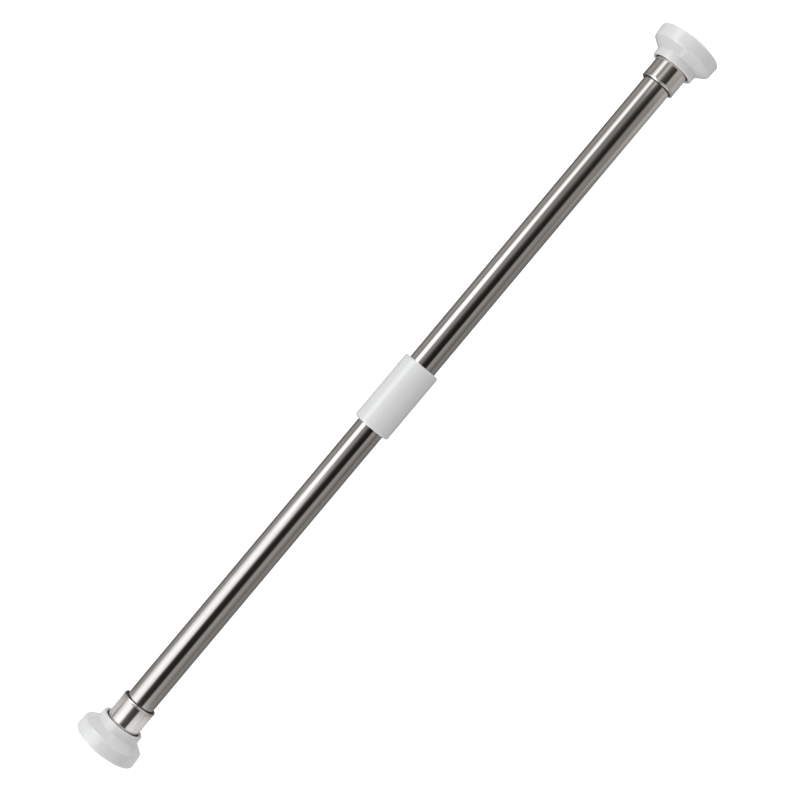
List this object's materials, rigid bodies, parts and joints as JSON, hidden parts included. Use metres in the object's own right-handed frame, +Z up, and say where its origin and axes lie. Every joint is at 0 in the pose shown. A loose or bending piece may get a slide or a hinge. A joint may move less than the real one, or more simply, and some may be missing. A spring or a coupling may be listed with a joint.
{
  "type": "pull up bar",
  "caption": "Telescopic doorway pull-up bar of polished steel tube with a white middle sleeve and a screw jack in the round white flange at each end.",
  "frame": {"origin": "centre of the box round the bar, on its axis halfway between the pads' faces, jacks screwed in and core tube pushed home", "axes": "+X along the bar towards the half that slides out, +Z up when the bar is level in a doorway"},
  "size_m": [0.944, 0.0728, 0.0728],
  "materials": {
    "polished_steel": "mirror-polished stainless steel",
    "satin_steel": "drawn stainless steel with fine lengthways lines",
    "zinc_steel": "zinc-plated steel",
    "spring_steel": "blackened spring steel",
    "white_plastic": "moulded white plastic, satin gloss",
    "pad_rubber": "light grey rubber",
    "black_rubber": "black rubber",
    "black_nylon": "black nylon",
    "natural_nylon": "natural nylon"
  },
  "bodies": {
    "left_end": {"left_pad": "pad_rubber", "left_flange": "white_plastic", "left_backing_plate": "zinc_steel", "left_plate_screws": "zinc_steel", "left_spindle": "zinc_steel", "left_stop_washer": "zinc_steel", "left_retaining_ring": "spring_steel", "left_cover_sleeve": "polished_steel", "left_bush_retainer": "zinc_steel", "left_seal_ring": "black_rubber"},
    "left_bush": {"left_sleeve_bush": "black_nylon"},
    "left_half": {"left_tube": "polished_steel", "left_tube_nut": "zinc_steel", "left_nut_pins": "zinc_steel", "middle_sleeve": "white_plastic"},
    "guide": {"guide_bush": "natural_nylon"},
    "right_half": {"right_tube": "polished_steel", "right_tube_nut": "zinc_steel", "right_nut_pins": "zinc_steel", "core_tube": "satin_steel", "core_spacer_front": "natural_nylon", "core_spacer_rear": "natural_nylon", "core_screws": "zinc_steel", "lock_plug": "zinc_steel", "lock_washer": "zinc_steel", "lock_screw": "zinc_steel"},
    "lock": {"lock_collar": "black_nylon"},
    "right_bush": {"right_sleeve_bush": "black_nylon"},
    "right_end": {"right_pad": "pad_rubber", "right_flange": "white_plastic", "right_backing_plate": "zinc_steel", "right_plate_screws": "zinc_steel", "right_spindle": "zinc_steel", "right_stop_washer": "zinc_steel", "right_retaining_ring": "spring_steel", "right_cover_sleeve": "polished_steel", "right_bush_retainer": "zinc_steel", "right_seal_ring": "black_rubber"}
  },
  "joints": [
    {"name": "left_screw_turn", "type": "hinge", "parent": "left_end", "child": "left_bush", "pos_m": [-0.43, 0, 0], "axis": [-1, 0, 0], "range_deg": [0, 2160]},
    {"name": "left_screw_travel", "type": "slide", "parent": "left_bush", "child": "left_half", "axis": [1, 0, 0], "range_m": [0, 0.024]},
    {"name": "lock_twist", "type": "hinge", "parent": "left_half", "child": "guide", "pos_m": [-0.05, 0, 0], "axis": [1, 0, 0], "range_deg": [-20, 20]},
    {"name": "telescope", "type": "slide", "parent": "guide", "child": "right_half", "axis": [1, 0, 0], "range_m": [0, 0.225]},
    {"name": "lock_collar_turn", "type": "hinge", "parent": "right_half", "child": "lock", "pos_m": [-0.341, 0, 0.0006], "axis": [1, 0, 0], "range_deg": [-20, 20]},
    {"name": "right_screw_travel", "type": "slide", "parent": "right_half", "child": "right_bush", "axis": [1, 0, 0], "range_m": [0, 0.024]},
    {"name": "right_screw_turn", "type": "hinge", "parent": "right_bush", "child": "right_end", "pos_m": [0.43, 0, 0], "axis": [1, 0, 0], "range_deg": [0, 2160]}
  ],
  "couplings": [
    {"joint": "left_screw_travel", "follows": "left_screw_turn", "m_per_rad": 0.00063662},
    {"joint": "right_screw_travel", "follows": "right_screw_turn", "m_per_rad": 0.00063662},
    {"joint": "lock_collar_turn", "follows": "lock_twist", "ratio": -1}
  ]
}
